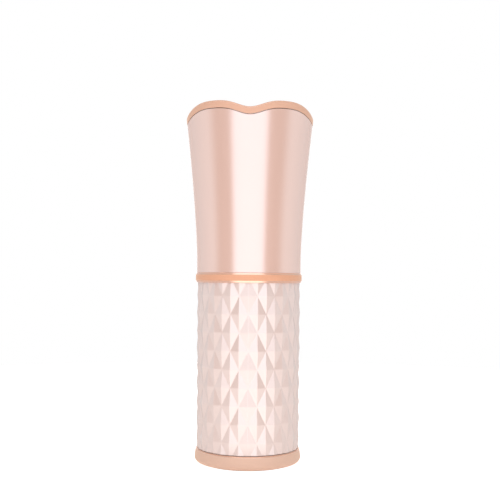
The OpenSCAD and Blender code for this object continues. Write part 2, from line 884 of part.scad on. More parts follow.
module lamp_housing() {
    color([0.93, 0.93, 0.9]) face_frame() difference() {
        union() {
            translate([0, 0, housing_back])
                round_plate(housing_w, housing_h, 1.5, plate_back - housing_back);
            translate([0, 0, plate_back - 1]) round_plate(snout_w, snout_h, 1.9, snout_out + 1 - plate_back);
            for (s = [-1, 1])
                translate([s * (housing_w / 2 + 1.25), ear_at[0], ear_at[1]])
                    cube([2.7, 5, 7], center = true);
        }
        translate([-cavity_w / 2, -cavity_h / 2, lamp_w - 6.5]) cube([cavity_w, cavity_h, 30]);
        translate([0, 0, snout_out - filter_t - 0.2])
            round_plate(filter_w + 0.2, filter_h + 0.2, 1.1, 5);
        translate([-big / 2, 0, lamp_w]) rotate([0, 90, 0]) cylinder(r = lamp_r + 0.3, h = big);
        for (s = [-1, 1]) translate([s * (housing_w / 2 - 1.4), ear_at[0], ear_at[1]])
            rotate([0, s * 90, 0]) cylinder(r = 0.95, h = 5);
    }
}

module filter_glass() {
    color([1, 0.75, 0.45, 0.6]) face_frame() translate([0, 0, snout_out - filter_t - 0.2])
        round_plate(filter_w, filter_h, 1, filter_t);
}

module reflector() {
    r = cavity_h / 2 - 0.7;
    t = 0.5;
    half = cavity_w / 2 - 0.1;
    color([0.95, 0.95, 0.97]) face_frame() {
        difference() {
            translate([-half, 0, lamp_w]) rotate([0, 90, 0]) cylinder(r = r + t, h = 2 * half);
            translate([-half - 1, 0, lamp_w]) rotate([0, 90, 0]) cylinder(r = r, h = 2 * half + 2);
            translate([-big / 2, -big / 2, lamp_w]) cube([big, big, big]);
        }
        for (s = [-1, 1]) translate([-half, s * (r + t / 2) - t / 2, lamp_w]) cube([2 * half, t, 7]);
    }
}

module flash_lamp() {
    color([0.85, 0.9, 1, 0.4]) face_frame() translate([-lamp_half, 0, lamp_w]) rotate([0, 90, 0])
        difference() {
            cylinder(r = lamp_r, h = 2 * lamp_half);
            translate([0, 0, -1]) cylinder(r = lamp_r - 0.6, h = 2 * lamp_half + 2);
        }
}

module lamp_electrodes() {
    electrode_x = cavity_w / 2 - 2.3;
    color([0.7, 0.7, 0.68]) face_frame() for (s = [-1, 1]) translate([s * electrode_x, 0, lamp_w])
        rotate([0, s * 90, 0]) {
            cylinder(r = lamp_r - 0.65, h = lamp_half - electrode_x);
            cylinder(r = 0.5, h = lamp_half + 1 - electrode_x);
        }
}

module lamp_end_caps() {
    color([0.8, 0.8, 0.8]) face_frame() for (s = [-1, 1])
        translate([s * (housing_w / 2 + 0.05), 0, lamp_w]) rotate([0, s * 90, 0]) difference() {
            cylinder(r = lamp_r + 1, h = 2.4);
            translate([0, 0, -1]) cylinder(r = lamp_r + 0.05, h = lamp_half - housing_w / 2 + 1);
            cylinder(r = 0.6, h = 4);
        }
}

module lamp_screws() {
    color("silver") face_frame() for (s = [-1, 1])
        translate([s * (housing_w / 2 - 1.2), ear_at[0], ear_at[1]]) rotate([0, s * 90, 0]) {
            cylinder(r = 0.9, h = plate_in + plate_t - housing_w / 2 + 1.6);
            translate([0, 0, plate_in + plate_t - housing_w / 2 + 1.3]) cylinder(r = 1.8, h = 1);
        }
}

module heat_sink() {
    half = housing_w / 2 - 2;
    fins = 9;
    color([0.8, 0.82, 0.85]) face_frame() {
        translate([-half, -housing_h / 2, housing_back - 2.5]) cube([2 * half, housing_h, 2.5]);
        for (i = [0 : fins - 1])
            translate([-half + (2 * half - 1.2) * i / (fins - 1), -housing_h / 2, housing_back - 10])
                cube([1.2, housing_h, 8]);
    }
}

// ---------------------------------------------------------------- leads

// Route of one lead, mirrored for the other: up past the fan, out to the side, up to the lamp
function lead_route() = [
    [1.3, lead_y, fan_z - 4], [1.3, lead_y, fan_z], [1.3, lead_y, fan_z + fan_h],
    [1.6, lead_y - 0.4, fan_z + fan_h + 3], [6, lead_y - 3.5, head_z - 3],
    [13, 12, head_z + 2], [lead_x - 1.7, 9.5, head_z + 8], [lead_x - 0.9, 8.5, head_z + 20],
    [lead_x - 0.4, 8.5, head_z + 36], [lead_x, 6.5, window_z - 24],
    [lead_x, lamp_end_y, lamp_end_z - 12], [lead_x, lamp_end_y, lamp_end_z - lamp_r - 1.5]
];
lead_y = fan_duct_r + lead_r + 0.65;
lead_x = (housing_w / 2 + plate_in) / 2;
lamp_end_y = window_y + lamp_w * sin(face_tilt);
lamp_end_z = window_z + lamp_w * cos(face_tilt);

function catmull(p0, p1, p2, p3, t) = 0.5 * (
    2 * p1 + (p2 - p0) * t + (2 * p0 - 5 * p1 + 4 * p2 - p3) * t * t
    + (3 * p1 - p0 - 3 * p2 + p3) * t * t * t);
function smooth_route(p) = let (n = len(p) - 1) concat(
    [for (i = [0 : n - 1], k = [0 : lead_steps - 1])
        catmull(p[max(i - 1, 0)], p[i], p[i + 1], p[min(i + 2, n)], k / lead_steps)],
    [p[n]]);
function unit(v) = v / norm(v);

// Tube swept along points, with rings square to the route
module tube(points, r, sides = 8) {
    n = len(points);
    function along(i) = unit(points[min(i + 1, n - 1)] - points[max(i - 1, 0)]);
    function across(i) = unit(cross(along(i), [0.3, 1, 0]));
    ring_points = [for (i = [0 : n - 1], k = [0 : sides - 1])
        let (a = 360 * k / sides, u = across(i), v = cross(along(i), u))
        points[i] + r * (cos(a) * u + sin(a) * v)];
    faces = concat(
        [for (i = [0 : n - 2], k = [0 : sides - 1])
            let (a = i * sides + k, b = i * sides + (k + 1) % sides)
            [b, a, a + sides]],
        [for (i = [0 : n - 2], k = [0 : sides - 1])
            let (a = i * sides + k, b = i * sides + (k + 1) % sides)
            [b, a + sides, b + sides]],
        [[for (k = [0 : sides - 1]) k]],
        [[for (k = [sides - 1 : -1 : 0]) (n - 1) * sides + k]]
    );
    polyhedron(points = ring_points, faces = faces);
}

module lamp_leads() {
    route = smooth_route(lead_route());
    color([0.75, 0.15, 0.12]) {
        tube(route, lead_r);
        mirror([1, 0, 0]) tube(route, lead_r);
    }
}

base_cap();
foot_ring();
base_gasket();
grip_sleeve();
waist_ring();
head_sleeve();
crown_gasket();
crown_bezel();
vent_screen();
face_plate();
skin_tone_sensor();
control_panel();
display_lens();
flash_button();
power_button();
attachment_frame();
attachment_lens();
attachment_magnets();
seat_magnets();
contact_pin_left();
contact_pin_right();
chassis_left();
chassis_right();
chassis_screws();
base_screws();
dc_jack();
dc_jack_pin();
power_board();
main_board();
board_chips();
charge_transformer();
power_transistor();
storage_capacitor();
capacitor_clamp();
fan_frame();
fan_stator();
fan_rotor();
control_board();
tact_switches();
level_leds();
trigger_coil();
lamp_housing();
filter_glass();
reflector();
flash_lamp();
lamp_electrodes();
lamp_end_caps();
lamp_screws();
heat_sink();
lamp_leads();
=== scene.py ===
import bpy, bmesh, math
from mathutils import Matrix, Vector


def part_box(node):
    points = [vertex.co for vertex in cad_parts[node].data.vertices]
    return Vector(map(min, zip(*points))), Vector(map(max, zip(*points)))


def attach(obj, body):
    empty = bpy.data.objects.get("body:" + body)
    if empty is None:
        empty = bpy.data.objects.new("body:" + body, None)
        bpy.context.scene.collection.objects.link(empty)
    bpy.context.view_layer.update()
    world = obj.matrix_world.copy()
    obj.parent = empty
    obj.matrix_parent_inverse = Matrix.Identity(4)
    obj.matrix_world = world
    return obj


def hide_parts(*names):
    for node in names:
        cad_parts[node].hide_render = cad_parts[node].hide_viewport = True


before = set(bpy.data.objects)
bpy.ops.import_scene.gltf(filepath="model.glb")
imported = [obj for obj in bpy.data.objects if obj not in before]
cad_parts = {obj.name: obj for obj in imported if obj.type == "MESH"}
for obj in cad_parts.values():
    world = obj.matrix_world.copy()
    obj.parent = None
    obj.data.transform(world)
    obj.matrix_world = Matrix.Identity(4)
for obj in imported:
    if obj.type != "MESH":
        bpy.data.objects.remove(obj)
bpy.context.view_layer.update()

mm = 0.001
scene = bpy.context.scene
print("hair remover: frame loaded,", len(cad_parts), "nodes")


# small helpers

def nodeBox(node):
    low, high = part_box(node)
    return low / mm, high / mm


def makeObject(bm, name, sharpAngle=35, weld=0.002):
    bmesh.ops.remove_doubles(bm, verts=bm.verts, dist=weld)
    bmesh.ops.recalc_face_normals(bm, faces=bm.faces)
    bmesh.ops.scale(bm, vec=(mm, mm, mm), verts=bm.verts)   # everything above is drawn in mm
    mesh = bpy.data.meshes.new(name)
    bm.to_mesh(mesh)
    bm.free()
    if sharpAngle is None:
        mesh.shade_flat()
    else:
        mesh.shade_smooth()
        mesh.set_sharp_from_angle(angle=math.radians(sharpAngle))
    obj = bpy.data.objects.new(name, mesh)
    scene.collection.objects.link(obj)
    return obj


def fit(obj, material, body, slotName, *nodes):
    for one in material if isinstance(material, tuple) else (material,):
        obj.data.materials.append(one)
    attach(obj, body)
    if nodes:
        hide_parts(*nodes)
    return obj


def bevelEdges(bm, edges, offset, segments=3, finish=-1):
    bmesh.ops.bevel(bm, geom=list(edges), offset=offset, offset_type="OFFSET", affect="EDGES",
                    segments=segments, profile=0.5, material=finish, clamp_overlap=True)


def wholeMesh(bm):
    return bm.verts[:] + bm.edges[:] + bm.faces[:]


def withEdges(faces):   # the faces and all that bounds them, as a cut wants them
    return list({v for f in faces for v in f.verts} | {e for f in faces for e in f.edges}) + faces


def secondFinish(bm, test):   # faces that take the piece's second material
    bm.normal_update()
    for f in bm.faces:
        if test(f):
            f.material_index = 1


def turnedPiece(profile, steps=192, closed=True):
    # profile of (radius, height) points turned once round the upright axis
    bm = bmesh.new()
    verts = [bm.verts.new((r, 0, z)) for r, z in profile]
    edges = [bm.edges.new(pair) for pair in zip(verts, verts[1:])]
    if closed:
        edges.append(bm.edges.new((verts[-1], verts[0])))
    bmesh.ops.spin(bm, geom=verts + edges, cent=(0, 0, 0), axis=(0, 0, 1),
                   angle=math.tau, steps=steps, use_merge=True)
    return bm


def roundCorner(centreR, centreZ, radius, start, end, count):
    # points along a quarter round, angles in degrees from +r towards +z
    return [(centreR + radius * math.cos(math.radians(start + (end - start) * i / count)),
             centreZ + radius * math.sin(math.radians(start + (end - start) * i / count)))
            for i in range(count + 1)]


def cadCopy(node):
    bm = bmesh.new()
    bm.from_mesh(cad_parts[node].data)
    bmesh.ops.scale(bm, vec=(1 / mm, 1 / mm, 1 / mm), verts=bm.verts)
    bmesh.ops.remove_doubles(bm, verts=bm.verts, dist=0.002)
    return bm


def joinFlat(bm, angle):   # triangles that lie in one plane become one face
    bmesh.ops.dissolve_limit(bm, angle_limit=math.radians(angle), use_dissolve_boundaries=False,
                             verts=bm.verts, edges=bm.edges, delimit=set())


# finishes

def newMaterial(name):
    material = bpy.data.materials.new(name)
    material.use_nodes = True
    tree = material.node_tree
    return material, tree, tree.nodes["Principled BSDF"], tree.nodes.new("ShaderNodeTexCoord")


def feed(tree, value, socket):   # value is another node's output, or what the socket itself is set to
    if isinstance(value, bpy.types.NodeSocket):
        tree.links.new(value, socket)
    else:
        socket.default_value = value


def mixNode(tree, factor, a, b, kind="RGBA"):
    mix = tree.nodes.new("ShaderNodeMix")
    mix.data_type = kind
    for name, value in (("Factor", factor), ("A", a), ("B", b)):
        feed(tree, value, mix.inputs[name])
    return mix.outputs["Result"]


def mathNode(tree, operation, *values):
    node = tree.nodes.new("ShaderNodeMath")
    node.operation = operation
    for value, socket in zip(values, node.inputs):
        feed(tree, value, socket)
    return node.outputs[0]


def rangeNode(tree, value, fromMin, fromMax, toMin=0.0, toMax=1.0, kind="LINEAR"):
    span = tree.nodes.new("ShaderNodeMapRange")
    span.interpolation_type = kind
    for name, bound in (("From Min", fromMin), ("From Max", fromMax), ("To Min", toMin), ("To Max", toMax)):
        span.inputs[name].default_value = bound
    tree.links.new(value, span.inputs["Value"])
    return span.outputs["Result"]


def addNoise(tree, coords, scale, detail=3, stretch=(1, 1, 1)):
    mapping = tree.nodes.new("ShaderNodeMapping")
    mapping.inputs["Scale"].default_value = stretch
    noise = tree.nodes.new("ShaderNodeTexNoise")
    noise.inputs["Scale"].default_value = scale
    noise.inputs["Detail"].default_value = detail
    tree.links.new(coords.outputs["Object"], mapping.inputs["Vector"])
    tree.links.new(mapping.outputs["Vector"], noise.inputs["Vector"])
    return noise.outputs["Fac"]


def addBump(tree, shader, height, strength, depth):   # depth in mm
    bump = tree.nodes.new("ShaderNodeBump")
    bump.inputs["Strength"].default_value = strength
    bump.inputs["Distance"].default_value = depth * mm
    tree.links.new(height, bump.inputs["Height"])
    tree.links.new(bump.outputs["Normal"], shader.inputs["Normal"])


def mottled(tree, factor, colour, amount):   # a slow wander of the colour round its mean
    return mixNode(tree, factor, (*[max(0, c * (1 - amount)) for c in colour], 1),
                   (*[min(1, c * (1 + amount)) for c in colour], 1))


noiseSpan = (0.3, 0.7)   # where most of a noise's values lie


def surface(name, colour, roughness=0.4, metallic=0.0, wander=0.03, wanderScale=60, roughSpread=0.04,
            grainScale=900, grainHeight=0.01, stretch=(1, 1, 1), **sockets):
    material, tree, shader, coords = newMaterial(name)
    slow = addNoise(tree, coords, wanderScale, 4)
    grain = addNoise(tree, coords, grainScale, 4, stretch)
    tree.links.new(mottled(tree, slow, colour, wander), shader.inputs["Base Color"])
    tree.links.new(rangeNode(tree, grain, *noiseSpan, max(0.02, roughness - roughSpread), roughness + roughSpread),
                   shader.inputs["Roughness"])
    addBump(tree, shader, grain, 0.5, grainHeight)
    shader.inputs["Metallic"].default_value = metallic
    for socket, value in sockets.items():
        shader.inputs[socket.replace("_", " ")].default_value = value
    return material


def pearlLacquer(name, colour, flake):   # satin pink lacquer with fine mica in it
    material, tree, shader, coords = newMaterial(name)
    slow = addNoise(tree, coords, flake["wanderScale"], 3)
    mica = tree.nodes.new("ShaderNodeTexVoronoi")
    mica.inputs["Scale"].default_value = flake["scale"]
    tree.links.new(coords.outputs["Object"], mica.inputs["Vector"])
    flecks = rangeNode(tree, mica.outputs["Color"], flake["rarity"], 1.0, 0.0, flake["amount"])
    bright = (*[min(1, c * flake["lift"]) for c in colour], 1)
    tree.links.new(mixNode(tree, flecks, mottled(tree, slow, colour, flake["wander"]), bright),
                   shader.inputs["Base Color"])
    peel = addNoise(tree, coords, flake["peelScale"], 2)
    rough, change = flake["roughness"], flake["roughSpread"]
    tree.links.new(rangeNode(tree, peel, *noiseSpan, rough - change, rough + change), shader.inputs["Roughness"])
    addBump(tree, shader, peel, 0.4, flake["peelHeight"])
    shader.inputs["IOR"].default_value = flake["ior"]
    return material


finishes = {
    "sleevePink": (0.84, 0.52, 0.41), "gripPink": (0.78, 0.575, 0.50),
    # one rose-gold plating in three colours: the ring's deeper orange is painted shade, and the base's paler tone
    # is a painted reflection of the bright floor
    "crownPlate": (0.80, 0.47, 0.325), "ringPlate": (0.83, 0.43, 0.265), "basePlatePaintedReflection": (0.80, 0.53, 0.40),
    "polished": (0.90, 0.56, 0.43), "edge": (0.87, 0.53, 0.40), "buttonPlate": (0.87, 0.5, 0.36),
}
mica = {"scale": 5200, "rarity": 0.55, "lift": 1.06, "amount": 0.5, "wander": 0.012, "wanderScale": 45,
        "roughness": 0.19, "roughSpread": 0.03, "peelScale": 700, "peelHeight": 0.004, "ior": 2.9}
sleevePearl = pearlLacquer("sleevePearl", finishes["sleevePink"], mica)
gripPearl = pearlLacquer("gripPearl", finishes["gripPink"], dict(mica, ior=2.4, roughness=0.2))
plating = dict(metallic=0.4, roughness=0.8, Sheen_Weight=0.6, Sheen_Roughness=0.45,
               Sheen_Tint=(1.0, 0.72, 0.55, 1), wander=0.012, wanderScale=35, roughSpread=0.03,
               grainScale=1400, grainHeight=0.003)
crownPlating = surface("crownPlating", finishes["crownPlate"], **plating)
# the ring's plating is a deeper orange copy of the crown's: painted shade
ringPlating = surface("ringPlating", finishes["ringPlate"], **plating)
# the base's plating is a paler copy of the crown's: a painted reflection of the bright floor
basePlatingPaintedReflection = surface("basePlatingPaintedReflection", finishes["basePlatePaintedReflection"], **plating)
polishedEdge = surface("polishedEdge", finishes["edge"], 0.16, metallic=1, wander=0.01, wanderScale=35,
                       roughSpread=0.02, grainScale=1400, grainHeight=0.001)
polishedCap = surface("polishedCap", finishes["polished"], 0.2, metallic=1, wander=0.012, wanderScale=35,
                      roughSpread=0.03, grainScale=1400, grainHeight=0.002)
buttonPlating = surface("buttonPlating", finishes["buttonPlate"],
                        **dict(plating, metallic=1, roughness=0.25, Sheen_Weight=0))
seamRubber = surface("seamRubber", (0.22, 0.13, 0.10), 0.4, wander=0.1, grainScale=2500, grainHeight=0.004,
                     Coat_Weight=0.8, Coat_Roughness=0.15, Coat_IOR=1.9)
footRubber = surface("footRubber", (0.06, 0.055, 0.055), 0.75, wander=0.12, grainScale=1800, grainHeight=0.03)
ventPlastic = surface("ventPlastic", (0.10, 0.065, 0.055), 0.6, wander=0.08, grainScale=2200, grainHeight=0.02)
faceWhite = surface("faceWhite", (0.93, 0.87, 0.84), 0.3, wander=0.008, grainScale=1600, grainHeight=0.002,
                    Coat_Weight=0.5, Coat_Roughness=0.08)
smokedLens = surface("smokedLens", (0.035, 0.018, 0.02), 0.08, wander=0.1, roughSpread=0.02, grainHeight=0.001,
                     Coat_Weight=1.0, Coat_Roughness=0.03)
steel = surface("steel", (0.62, 0.61, 0.60), 0.3, metallic=1, wander=0.03, grainScale=700, grainHeight=0.004,
                stretch=(1, 1, 8))
contactSteel = surface("contactSteel", (0.74, 0.72, 0.69), 0.2, metallic=1, wander=0.02, grainScale=900,
                       grainHeight=0.002)
chassisPlastic = surface("chassisPlastic", (0.62, 0.61, 0.60), 0.5, grainScale=1500, grainHeight=0.02)
blackPlastic = surface("blackPlastic", (0.028, 0.028, 0.03), 0.45, wander=0.1, grainScale=1500, grainHeight=0.02)
brass = surface("brass", (0.78, 0.55, 0.26), 0.25, metallic=1, grainScale=900, grainHeight=0.003)
copper = surface("copper", (0.75, 0.35, 0.2), 0.35, metallic=1, grainScale=1200, grainHeight=0.02,
                 stretch=(1, 1, 14))
aluminium = surface("aluminium", (0.72, 0.73, 0.74), 0.38, metallic=1, grainScale=800, grainHeight=0.005,
                    stretch=(10, 1, 1))
mirrorFoil = surface("mirrorFoil", (0.9, 0.9, 0.9), 0.1, metallic=1, roughSpread=0.04, grainHeight=0.004)
lampCeramic = surface("lampCeramic", (0.85, 0.84, 0.8), 0.6, grainScale=1800, grainHeight=0.01)
capacitorSleeve = surface("capacitorSleeve", (0.03, 0.035, 0.07), 0.35, grainScale=600, grainHeight=0.004)
leadSilicone = surface("leadSilicone", (0.55, 0.05, 0.04), 0.5, grainScale=1500, grainHeight=0.01)
ledWhite = surface("ledWhite", (0.9, 0.88, 0.8), 0.3, grainHeight=0.002)
circuitGreen = surface("circuitGreen", (0.02, 0.14, 0.07), 0.35, wander=0.2, wanderScale=400,
                       grainScale=1200, grainHeight=0.01, Coat_Weight=0.4)
windowGlass = surface("windowGlass", (0.95, 0.93, 0.9), 0.05, wander=0.01, roughSpread=0.015, grainHeight=0.0005,
                      Transmission_Weight=0.9, IOR=1.5)
filterGlass = surface("filterGlass", (0.85, 0.42, 0.22), 0.06, wander=0.05, roughSpread=0.02, grainHeight=0.0005,
                      Transmission_Weight=0.55, IOR=1.6)
quartz = surface("quartz", (0.93, 0.94, 0.95), 0.05, wander=0.01, roughSpread=0.02, grainHeight=0.0005,
                 Transmission_Weight=0.9, IOR=1.46)
slotFinish = {
    "pearl_shell": sleevePearl, "rose_gold": crownPlating, "seam_rubber": seamRubber, "foot_rubber": footRubber,
    "vent_plastic": ventPlastic, "face_white": faceWhite, "smoked_lens": smokedLens, "window_glass": windowGlass,
    "filter_glass": filterGlass, "steel": steel, "contact_steel": contactSteel,
    "chassis_plastic": chassisPlastic, "black_plastic": blackPlastic, "brass": brass, "board": circuitGreen,
    "copper": copper, "aluminium": aluminium, "capacitor_sleeve": capacitorSleeve, "lamp_ceramic": lampCeramic,
    "mirror_foil": mirrorFoil, "lamp_quartz": quartz, "led_white": ledWhite, "lead_silicone": leadSilicone,
}
for name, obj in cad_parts.items():   # every carried-over node gets its detailed finish
    for place in obj.material_slots:
        place.material = slotFinish[place.material.name.split(".")[0]]
print("hair remover: finishes made")


# grip: raised diamond studs round a tube

grip = {"tipRadius": 25.2, "valleyRadius": 24.4, "boreRadius": 22.4, "columns": 36, "rowHeight": 8.55,
        "firstTip": 6.05, "ridge": 0.1, "sharpAngle": 3.5}


def makeGrip():
    low, high = nodeBox("grip_sleeve")
    top, bottom = high.z, low.z
    row = grip["rowHeight"]
    start = top - grip["firstTip"] + 2 * row
    count = int((start - bottom) / row) + 3
    bm = bmesh.new()
    verts = [bm.verts.new((0, -grip["valleyRadius"], start - j * row)) for j in range(count)]
    edges = [bm.edges.new(pair) for pair in zip(verts, verts[1:])]
    bmesh.ops.spin(bm, geom=verts + edges, cent=(0, 0, 0), axis=(0, 0, 1), angle=math.tau,
                   steps=grip["columns"], use_merge=True)
    tips = set()
    for v in bm.verts:
        column = round((math.degrees(math.atan2(v.co.y, v.co.x)) + 90) / (360 / grip["columns"]))
        if (column + round((start - v.co.z) / row)) % 2 == 0:   # every other crossing stands proud
            tips.add(v)
    for v in tips:
        v.co.xy *= grip["tipRadius"] / v.co.xy.length
    bmesh.ops.connect_verts(bm, verts=[v for v in bm.verts if v not in tips])
    bevelEdges(bm, [e for e in bm.edges if not e.is_boundary], grip["ridge"], 1)
    for z, side in ((top, 1), (bottom, -1)):
        bmesh.ops.bisect_plane(bm, geom=wholeMesh(bm), plane_co=(0, 0, z), plane_no=(0, 0, side),
                               clear_outer=True)
    bmesh.ops.recalc_face_normals(bm, faces=bm.faces)
    for z in (top, bottom):   # flat ends, then the bore
        rim = [e for e in bm.edges if e.is_boundary and all(abs(v.co.z - z) < 0.01 for v in e.verts)]
        inward = bmesh.ops.extrude_edge_only(bm, edges=rim)["geom"]
        for v in inward:
            if isinstance(v, bmesh.types.BMVert):
                v.co.xy *= grip["boreRadius"] / v.co.xy.length
    bmesh.ops.bridge_loops(bm, edges=[e for e in bm.edges if e.is_boundary])
    return bm


gripSleeve = fit(makeObject(makeGrip(), "gripSleeve", grip["sharpAngle"]), gripPearl, "housing", "pearl_shell",
                 "grip_sleeve")
print("hair remover: grip done")


# waist ring and base: satin plating with polished edges

ring = {"bore": 22.4, "bevelDepth": 0.19, "bevelReach": 1.05, "blend": (0.02, 0.08, 0.06), "round": 0.35,
        "roundFrom": 14, "steps": 6, "polishedFrom": 0.17}
base = {"topEdge": 0.4, "rimRadius": 25.2, "flatAngle": 0.5}


def makeWaistRing():
    low, high = nodeBox("waist_ring")
    r, soft = high.x, ring["round"]
    mid = r - ring["bevelDepth"] - soft
    reach = ring["bevelReach"]   # a shallow polished bevel on both edges, blended into the flat
    step, over, under = ring["blend"]
    bm = turnedPiece([(ring["bore"], low.z)]
                     + roundCorner(mid, low.z + soft, soft, -90, -ring["roundFrom"], ring["steps"])
                     + [(r - step, low.z + reach - over), (r, low.z + reach + under),
                        (r, high.z - reach - under), (r - step, high.z - reach + over)]
                     + roundCorner(mid, high.z - soft, soft, ring["roundFrom"], 90, ring["steps"])
                     + [(ring["bore"], high.z)])
    secondFinish(bm, lambda f: abs(f.normal.z) > ring["polishedFrom"])
    return bm


def makeBase():
    low, high = nodeBox("base_cap")
    gasket = nodeBox("base_gasket")[0].z
    bm = cadCopy("base_cap")
    joinFlat(bm, base["flatAngle"])
    top = [e for e in bm.edges
           if all(abs(v.co.z - gasket) < 0.02 and v.co.xy.length > base["rimRadius"] for v in e.verts)]
    bevelEdges(bm, top, base["topEdge"], 4, 1)
    return bm


waistRing = fit(makeObject(makeWaistRing(), "waistRing", 30), (ringPlating, polishedEdge), "housing", "rose_gold",
                "waist_ring")
baseCap = fit(makeObject(makeBase(), "baseCap", 32), (basePlatingPaintedReflection, polishedEdge), "housing", "rose_gold",
              "base_cap")
print("hair remover: ring and base done")


# head: a flared sleeve, cut by a wavy rim at the top and by the slanted face in front

head = {"radius": 25.4, "straightTo": 98.6, "flare": 5.85, "flareHeight": 70.8, "flarePower": 1.4, "wall": 1.8,
        "dipDepth": 3.5, "dipHalf": 8.3, "shoulderDrop": 4.1, "shoulderFrom": 18.0, "shoulderRun": 12.4,
        "shoulderPower": 2.6, "faceY": 3.0, "faceTilt": 56, "ridgeSoft": 0.5, "crownDrop": 3.4, "seam": 0.35,
        "rows": 34}
faceNormal = Vector((0, math.sin(math.radians(head["faceTilt"])), math.cos(math.radians(head["faceTilt"]))))
downSlope = Vector((0, faceNormal.z, -faceNormal.y))
ridgeZ = nodeBox("crown_bezel")[1].z
half = 120   # columns from the back to the front on one side


def headRadius(z):
    rise = max(0.0, z - head["straightTo"]) / head["flareHeight"]
    return head["radius"] + head["flare"] * rise ** head["flarePower"]


def softMin(a, b, soft):
    gap = max(soft - abs(a - b), 0) / soft
    return min(a, b) - gap * gap * soft / 4


def waveHeight(x):   # two crests with a dip between them, falling away to the sides
    dip = head["dipDepth"] * math.exp(-(x / head["dipHalf"]) ** 2)
    beyond = max(0.0, abs(x) - head["shoulderFrom"]) / head["shoulderRun"]
    return ridgeZ - dip - head["shoulderDrop"] * beyond ** head["shoulderPower"]


def topHeight(x, y, drop):
    slope = ridgeZ - ((y - head["faceY"]) * faceNormal.y + drop) / faceNormal.z
    return softMin(waveHeight(x) - drop, slope, head["ridgeSoft"])


def rimPoint(angle, drop, inset):
    # where the sleeve's side, moved in by inset, meets the top lowered by drop
    c, s, z = math.cos(angle), math.sin(angle), ridgeZ - 10
    for i in range(30):
        r = headRadius(z) - inset
        z += 0.6 * (topHeight(r * c, r * s, drop) - z)
    r = headRadius(z) - inset
    return Vector((r * c, r * s, z))


def columnAngle(k):
    # angle of column k of 2 * half, counted from the back; columns gather round the ridge
    turn = k / half if k <= half else 2 - k / half
    turn += 0.08 * math.sin(2 * math.pi * turn)
    a = -90 + 180 * turn
    return math.radians(a if k <= half else 180 - a)


opening = {"side": 1.7, "end": 1.2, "front": 15, "margin": 3}   # smaller by side and end than the panel over it


def loopEdges(bm, points):
    verts = [bm.verts.new(p) for p in points]
    return [bm.edges.new((verts[i], verts[i - 1])) for i in range(len(verts))]


def stackRings(bm, rings, join=False):
    # bridges a list of closed rings of points into one skin
    loops = [loopEdges(bm, points) for points in rings]
    for a, b in zip(loops, loops[1:]):
        bmesh.ops.bridge_loops(bm, edges=a + b)
    if join:
        bmesh.ops.bridge_loops(bm, edges=loops[-1] + loops[0])
    return loops


def crownRing(drop, inset):
    return [rimPoint(columnAngle(k), drop, inset) for k in range(2 * half)]


def makeHead():
    low, high = nodeBox("head_sleeve")
    cut, rows = head["crownDrop"] + head["seam"], head["rows"]
    outer, inner = crownRing(cut, 0), crownRing(cut, head["wall"])
    rings = []
    for side, tops, inset in ((0, outer, 0), (1, inner, head["wall"])):
        skin = []
        for j in range(rows + 1):
            t = j / rows
            points = []
            for p in tops:
                z = low.z + (p.z - low.z) * t
                r = headRadius(z) - inset
                points.append(Vector((p.x, p.y, 0)).normalized() * r + Vector((0, 0, z)))
            skin.append(points)
        rings += skin if side == 0 else skin[::-1]
    bm = bmesh.new()
    stackRings(bm, rings, join=True)
    panelLow, panelHigh = nodeBox("control_panel")
    wide = panelHigh.x - opening["side"]
    bottom, top = panelLow.z + opening["end"], panelHigh.z - opening["end"]

    def patch(margin):
        centres = [(f, f.calc_center_median()) for f in bm.faces]
        return [f for f, c in centres if c.y > opening["front"] and abs(c.x) < wide + margin
                and bottom - margin < c.z < top + margin]

    for point, normal in (((wide, 0, 0), (1, 0, 0)), ((-wide, 0, 0), (1, 0, 0)), ((0, 0, bottom), (0, 0, 1)),
                          ((0, 0, top), (0, 0, 1))):
        bmesh.ops.bisect_plane(bm, geom=withEdges(patch(opening["margin"])), plane_co=point, plane_no=normal)
    hole = patch(0)
    bmesh.ops.delete(bm, geom=hole, context="FACES")
    bmesh.ops.bridge_loops(bm, edges=[e for e in bm.edges if e.is_boundary])
    return bm


headSleeve = fit(makeObject(makeHead(), "headSleeve", 40), sleevePearl, "housing", "pearl_shell", "head_sleeve")
print("hair remover: head sleeve done")


seam = {"intoCrown": 0.05, "intoSleeve": 0.02, "inset": 0.32, "depth": 1.2}


def makeSeam():
    top = head["crownDrop"] - seam["intoCrown"]
    bottom = head["crownDrop"] + head["seam"] + seam["intoSleeve"]
    near, deep = seam["inset"], seam["inset"] + seam["depth"]
    bm = bmesh.new()
    stackRings(bm, [crownRing(top, near), crownRing(bottom, near), crownRing(bottom, deep),
                    crownRing(top, deep)], join=True)
    return bm


crownSeam = fit(makeObject(makeSeam(), "crownSeam"), seamRubber, "housing", "seam_rubber", "crown_gasket")


# crown: plated cap with a soft rim, a lip round the slanted face and air slots behind

crown = {"rim": 0.75, "lip": 2.4, "lipEdge": 0.4, "skin": 0.75, "openingTop": 5.24, "acrossCount": 56,
         "slots": 7, "slotPitch": 4.4, "slotHalf": 1.0, "slotY": -14.0, "slotReach": 8.0, "slotTaper": 0.7,
         "slotDepth": 2.3, "wallDepth": 2.3, "openingEdge": 0.3, "ridgeGap": 0.08, "topNormal": 0.6,
         "cutMargin": 3, "polishedRows": 4}


def ridgeY(x):
    return head["faceY"] + (ridgeZ - waveHeight(x)) * faceNormal.z / faceNormal.y


